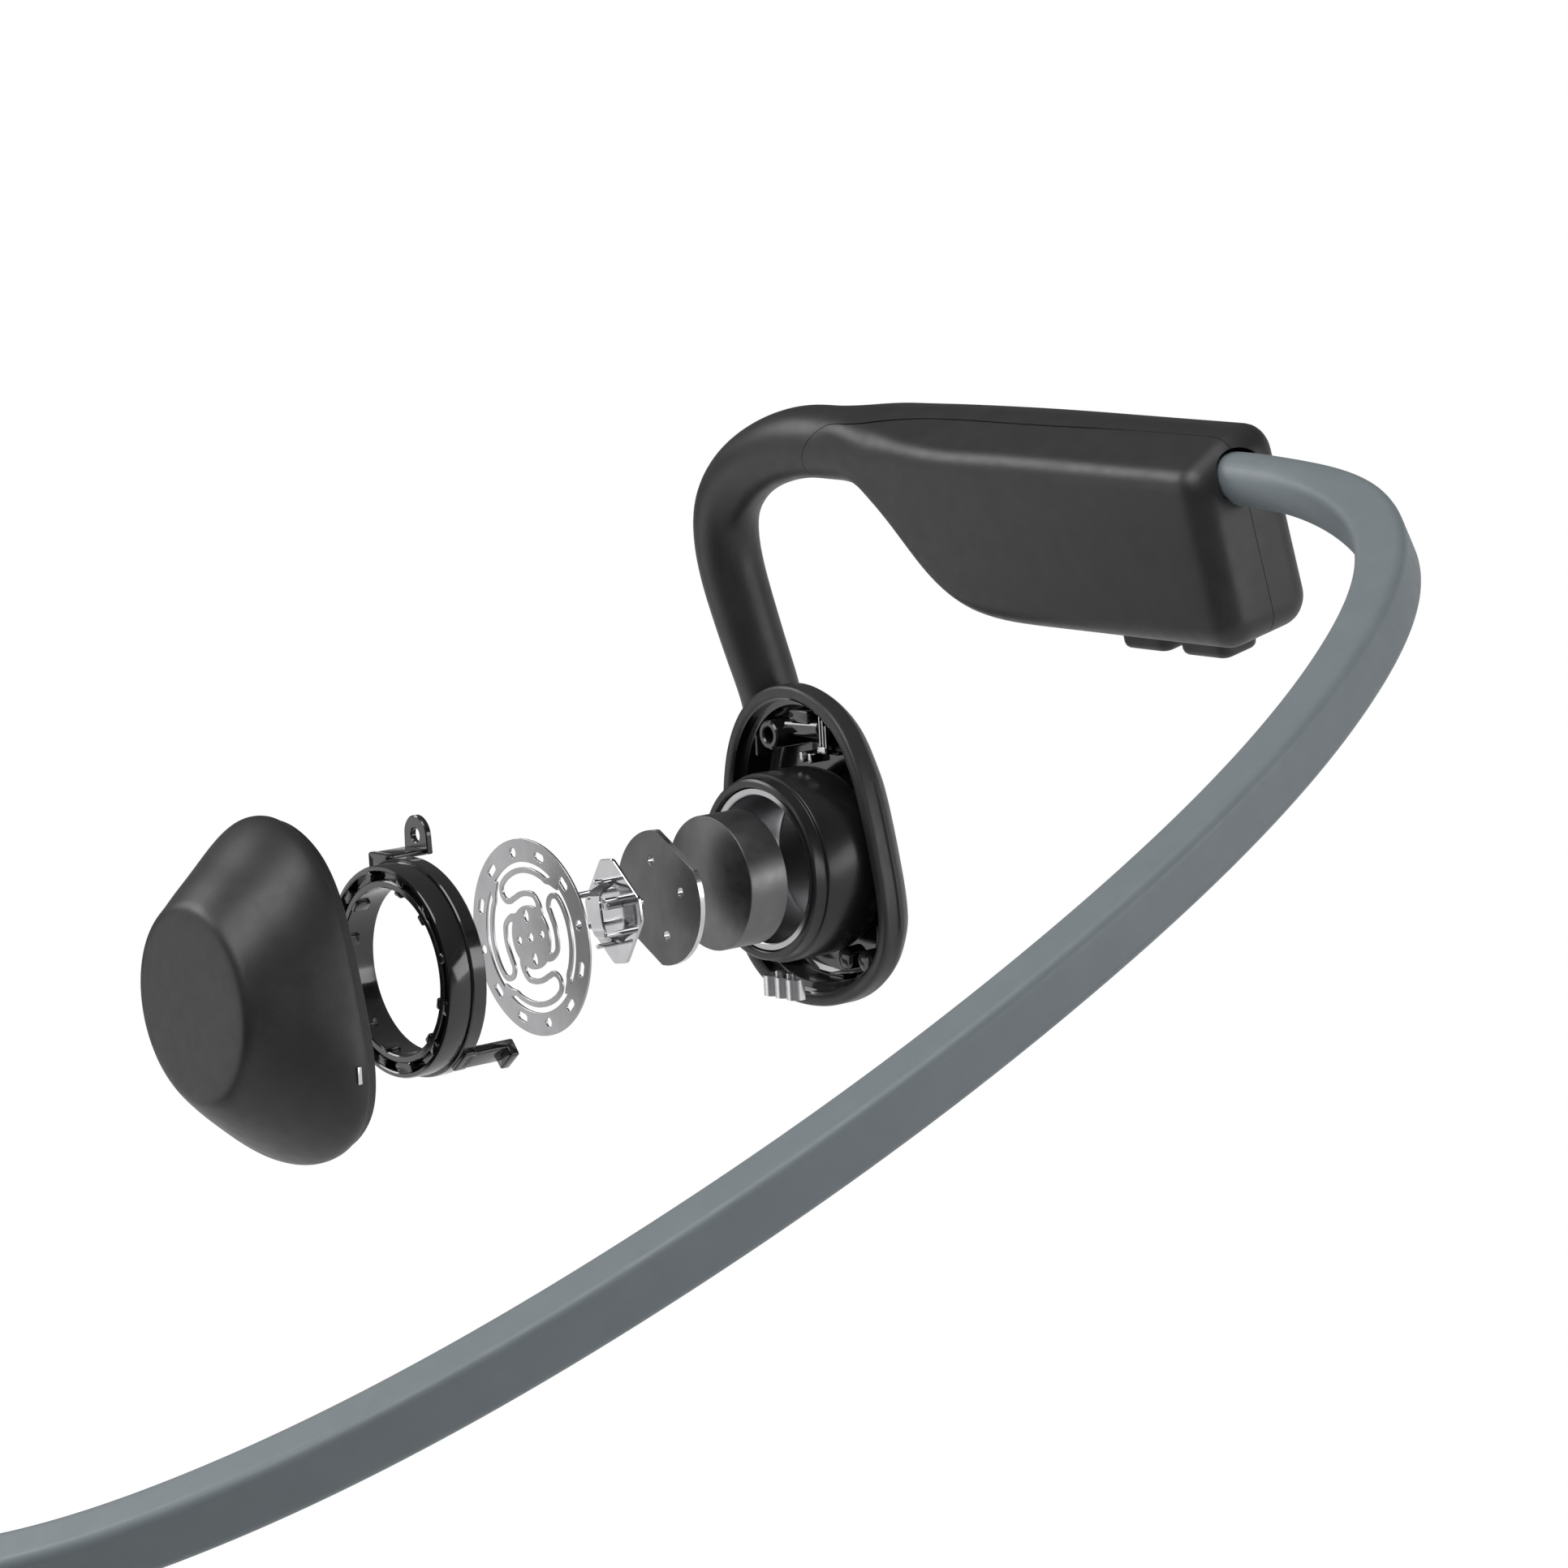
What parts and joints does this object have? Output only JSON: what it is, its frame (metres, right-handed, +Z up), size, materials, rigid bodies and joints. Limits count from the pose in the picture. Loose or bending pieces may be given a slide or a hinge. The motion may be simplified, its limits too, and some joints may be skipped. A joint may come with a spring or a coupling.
{
  "type": "bone conduction headphones",
  "caption": "Neckband bone conduction headphones with ear hooks, housings with keys and charge socket, and one driver drawn out of its pod piece by piece.",
  "frame": {"origin": "middle of the neckband's back, on its lower flat", "axes": "+X the wearer's right, +Y forward, +Z up"},
  "size_m": [0.1601, 0.1238, 0.0531],
  "materials": {
    "silicone_grey": "matte silicone",
    "soft_black": "soft-touch matte",
    "shell_black": "fine satin texture",
    "gloss_black": "moulded gloss",
    "magnet_nickel": "satin nickel",
    "dark_steel": "dark satin",
    "spring_steel": "brushed",
    "bright_steel": "bright plated",
    "titanium": "drawn wire",
    "copper": "enamelled",
    "board_green": "solder mask",
    "battery_foil": "foil pouch"
  },
  "bodies": {
    "headset": {"battery": "battery_foil", "battery_board": "board_green", "charge_socket": "bright_steel", "contact_clip_left": "bright_steel", "contact_clip_right": "bright_steel", "cup_liner_left": "spring_steel", "cup_liner_right": "spring_steel", "driver_cup_left": "shell_black", "driver_cup_right": "shell_black", "hook_core_wire_left": "titanium", "hook_core_wire_right": "titanium", "hook_sleeve_left": "soft_black", "hook_sleeve_right": "soft_black", "housing_gasket_left": "gloss_black", "housing_gasket_right": "gloss_black", "housing_lid_left": "soft_black", "housing_lid_right": "soft_black", "housing_screws_left": "dark_steel", "housing_screws_right": "dark_steel", "housing_shell_left": "soft_black", "housing_shell_right": "soft_black", "key_board": "board_green", "key_switches": "bright_steel", "main_board": "board_green", "microphone": "bright_steel", "neckband_core_wire": "titanium", "neckband_signal_wire": "copper", "neckband_sleeve": "silicone_grey", "pad_cover_left": "soft_black", "pod_contacts_left": "bright_steel", "pod_contacts_right": "bright_steel", "pod_shell_left": "shell_black", "pod_shell_right": "shell_black", "port_cover_pin": "spring_steel", "radio_chip": "gloss_black", "ring_bracket_left": "gloss_black", "spring_plate_left": "spring_steel", "voice_coil_left": "copper", "voice_coil_right": "copper"},
    "pad": {"pad_cover_right": "soft_black"},
    "ring": {"ring_bracket_right": "gloss_black"},
    "spring": {"spring_plate_right": "spring_steel"},
    "bracket": {"coil_bracket_right": "bright_steel"},
    "yoke": {"yoke_plate_right": "dark_steel"},
    "magnet": {"magnet_right": "magnet_nickel"},
    "volume_up": {"volume_up_button": "soft_black"},
    "volume_down": {"volume_down_button": "soft_black"},
    "multifunction": {"multifunction_button": "shell_black"},
    "port_flap": {"port_cover": "soft_black"},
    "left_driver_mass": {"magnet_left": "magnet_nickel", "yoke_plate_left": "dark_steel", "coil_bracket_left": "bright_steel"}
  },
  "joints": [
    {"name": "pad_close", "type": "slide", "parent": "headset", "child": "pad", "axis": [0.8985, 0.1938, -0.3938], "range_m": [0, 0.05639], "stiffness_N_per_m": 60},
    {"name": "ring_close", "type": "slide", "parent": "headset", "child": "ring", "axis": [0.8983, 0.2082, -0.3869], "range_m": [0, 0.03934]},
    {"name": "spring_close", "type": "slide", "parent": "headset", "child": "spring", "axis": [0.8929, 0.2274, -0.3885], "range_m": [0, 0.02725]},
    {"name": "bracket_close", "type": "slide", "parent": "headset", "child": "bracket", "axis": [0.8825, 0.2375, -0.4059], "range_m": [0, 0.02048]},
    {"name": "yoke_close", "type": "slide", "parent": "headset", "child": "yoke", "axis": [0.8788, 0.2411, -0.4117], "range_m": [0, 0.01553]},
    {"name": "magnet_close", "type": "slide", "parent": "headset", "child": "magnet", "axis": [0.8623, 0.2715, -0.4274], "range_m": [0, 0.01037]},
    {"name": "volume_up_press", "type": "slide", "parent": "headset", "child": "volume_up", "axis": [0.2483, 0.0422, 0.9678], "range_m": [0, 0.00045], "stiffness_N_per_m": 300},
    {"name": "volume_down_press", "type": "slide", "parent": "headset", "child": "volume_down", "axis": [0.2483, 0.0422, 0.9678], "range_m": [0, 0.00045], "stiffness_N_per_m": 300},
    {"name": "multifunction_press", "type": "slide", "parent": "headset", "child": "multifunction", "axis": [0.8861, 0.0927, 0.4542], "range_m": [0, 0.0004], "stiffness_N_per_m": 300},
    {"name": "port_flap_hinge", "type": "hinge", "parent": "headset", "child": "port_flap", "pos_m": [0.06311, 0.06759, -0.01043], "axis": [-0.9541, -0.1622, 0.2519], "range_deg": [0, 100]},
    {"name": "left_driver_shake", "type": "slide", "parent": "headset", "child": "left_driver_mass", "axis": [0.8861, 0.0927, 0.4542], "range_m": [-0.00015, 0.00015], "stiffness_N_per_m": 2000}
  ],
  "couplings": [
    {"joint": "ring_close", "follows": "pad_close", "ratio": 0.69755},
    {"joint": "spring_close", "follows": "pad_close", "ratio": 0.48316},
    {"joint": "bracket_close", "follows": "pad_close", "ratio": 0.36314},
    {"joint": "yoke_close", "follows": "pad_close", "ratio": 0.27538},
    {"joint": "magnet_close", "follows": "pad_close", "ratio": 0.18395}
  ]
}
